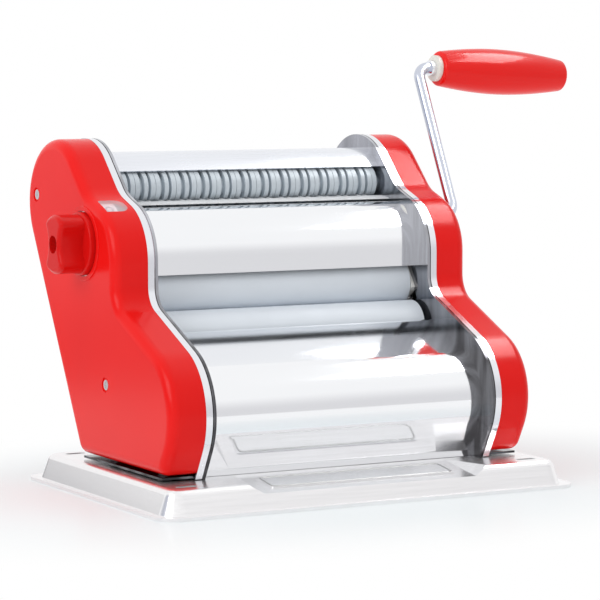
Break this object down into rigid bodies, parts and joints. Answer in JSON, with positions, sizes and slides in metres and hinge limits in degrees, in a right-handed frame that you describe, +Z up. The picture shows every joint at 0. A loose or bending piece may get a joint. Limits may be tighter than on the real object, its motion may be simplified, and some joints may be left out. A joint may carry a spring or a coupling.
{
  "type": "pasta roller machine",
  "caption": "Crank driven pasta machine with sheet rollers, gap knob with dial window, wide and narrow cutters, red side covers and a slotted steel base.",
  "frame": {"origin": "middle of the base tray's footprint on the table", "axes": "+X along the rollers towards the crank, -Y to the front where dough goes in, +Z up"},
  "size_m": [0.427, 0.2543, 0.2922],
  "materials": {
    "red_cover": "glossy red moulded plastic",
    "polished_sheet": "mirror polished stainless sheet",
    "chrome": "bright chrome plate",
    "satin_sheet": "satin stainless sheet",
    "plate_steel": "polished side plate",
    "roller_metal": "smooth anodised roller",
    "cutter_metal": "turned and anodised",
    "gear_steel": "cut steel",
    "bush_plastic": "white bearing plastic",
    "comb_white": "pale satin",
    "rubber": "soft black rubber",
    "name_plate": "bare bright plate",
    "screw_steel": "zinc plated",
    "dial_white": "white dial with printed numbers",
    "dial_window": "clear lens tinted by the cover",
    "knob_red": "glossy red moulded plastic",
    "grip_red": "glossy red moulded plastic",
    "cream_plastic": "cream washer"
  },
  "bodies": {
    "frame": {"base_tray": "satin_sheet", "base_feet": "rubber", "name_plate": "name_plate", "side_plate_left": "plate_steel", "side_plate_right": "plate_steel", "side_trim_left": "chrome", "side_trim_right": "chrome", "foot_spacers": "bush_plastic", "foot_screws": "screw_steel", "tie_rods": "screw_steel", "tie_nuts": "screw_steel", "lower_front_cover": "polished_sheet", "upper_front_cover": "polished_sheet", "front_top_cover": "satin_sheet", "rear_top_cover": "satin_sheet", "rear_cover": "satin_sheet", "rear_apron": "satin_sheet", "left_cover": "red_cover", "right_cover": "red_cover", "cover_posts": "screw_steel", "cover_screws": "screw_steel", "dial_window": "dial_window", "roller_bushes": "bush_plastic", "cutter_bushes": "bush_plastic", "drive_bushes": "bush_plastic", "adjuster_bushes": "bush_plastic", "roller_guides": "comb_white", "wide_front_comb": "comb_white", "wide_rear_comb": "comb_white", "narrow_front_comb": "comb_white", "narrow_rear_comb": "comb_white", "idler_pins": "screw_steel", "block_springs": "screw_steel"},
    "drive": {"drive_gear": "gear_steel", "crank_rod": "chrome", "grip_collar": "chrome", "grip_washer": "cream_plastic", "grip_screw": "screw_steel"},
    "grip": {"handle_grip": "grip_red"},
    "fixed_roller": {"fixed_roller": "roller_metal", "fixed_roller_gears": "gear_steel"},
    "bearing_carriage": {"bearing_blocks": "bush_plastic"},
    "movable_roller": {"movable_roller": "roller_metal", "movable_roller_gear": "gear_steel"},
    "adjuster": {"adjuster_shaft": "screw_steel", "adjuster_cams": "gear_steel", "dial_drum": "dial_white", "knob": "knob_red", "knob_screw": "screw_steel"},
    "roller_idler": {"idler_gear_rollers": "gear_steel"},
    "cutter_idler": {"idler_gear_cutters": "gear_steel"},
    "wide_front": {"wide_front_cutter": "cutter_metal", "wide_front_gear": "gear_steel"},
    "wide_rear": {"wide_rear_cutter": "cutter_metal", "wide_rear_gears": "gear_steel"},
    "narrow_front": {"narrow_front_cutter": "cutter_metal", "narrow_front_gears": "gear_steel"},
    "narrow_rear": {"narrow_rear_cutter": "cutter_metal", "narrow_rear_gear": "gear_steel"}
  },
  "joints": [
    {"name": "crank_turn", "type": "hinge", "parent": "frame", "child": "drive", "pos_m": [0, 0.0388, 0.1752], "axis": [1, 0, 0], "continuous": true},
    {"name": "grip_spin", "type": "hinge", "parent": "drive", "child": "grip", "pos_m": [0.1462, 0.0902, 0.2788], "axis": [0.9986, 0, -0.0523], "continuous": true},
    {"name": "fixed_roller_spin", "type": "hinge", "parent": "frame", "child": "fixed_roller", "pos_m": [0, 0.019, 0.101], "axis": [1, 0, 0], "continuous": true},
    {"name": "knob_turn", "type": "hinge", "parent": "frame", "child": "adjuster", "pos_m": [0, 0.0508, 0.1629], "axis": [1, 0, 0], "range_deg": [0, 320]},
    {"name": "gap_slide", "type": "slide", "parent": "frame", "child": "bearing_carriage", "axis": [0, 0.5664, 0.8241], "range_m": [0, 0.003], "stiffness_N_per_m": 300, "springref_m": 0.017},
    {"name": "movable_roller_spin", "type": "hinge", "parent": "bearing_carriage", "child": "movable_roller", "pos_m": [0, 0.03882, 0.12984], "axis": [1, 0, 0], "continuous": true},
    {"name": "roller_idler_spin", "type": "hinge", "parent": "frame", "child": "roller_idler", "pos_m": [0, 0.06071, 0.13762], "axis": [1, 0, 0], "continuous": true},
    {"name": "cutter_idler_spin", "type": "hinge", "parent": "frame", "child": "cutter_idler", "pos_m": [0, 0.06428, 0.17606], "axis": [1, 0, 0], "continuous": true},
    {"name": "wide_front_spin", "type": "hinge", "parent": "frame", "child": "wide_front", "pos_m": [0, 0.079, 0.1978], "axis": [1, 0, 0], "continuous": true},
    {"name": "wide_rear_spin", "type": "hinge", "parent": "frame", "child": "wide_rear", "pos_m": [0, 0.09624, 0.18334], "axis": [1, 0, 0], "continuous": true},
    {"name": "narrow_front_spin", "type": "hinge", "parent": "frame", "child": "narrow_front", "pos_m": [0, 0.10895, 0.15952], "axis": [1, 0, 0], "continuous": true},
    {"name": "narrow_rear_spin", "type": "hinge", "parent": "frame", "child": "narrow_rear", "pos_m": [0, 0.12327, 0.17488], "axis": [1, 0, 0], "continuous": true}
  ],
  "couplings": [
    {"joint": "roller_idler_spin", "follows": "crank_turn", "ratio": -0.31818},
    {"joint": "fixed_roller_spin", "follows": "crank_turn", "ratio": 0.46667},
    {"joint": "movable_roller_spin", "follows": "crank_turn", "ratio": -0.46667},
    {"joint": "cutter_idler_spin", "follows": "crank_turn", "ratio": -0.7},
    {"joint": "wide_front_spin", "follows": "crank_turn", "ratio": 0.93333},
    {"joint": "wide_rear_spin", "follows": "crank_turn", "ratio": -0.93333},
    {"joint": "narrow_front_spin", "follows": "crank_turn", "ratio": 0.93333},
    {"joint": "narrow_rear_spin", "follows": "crank_turn", "ratio": -0.93333},
    {"joint": "knob_turn", "follows": "gap_slide", "rad_per_m": 1861.6}
  ]
}
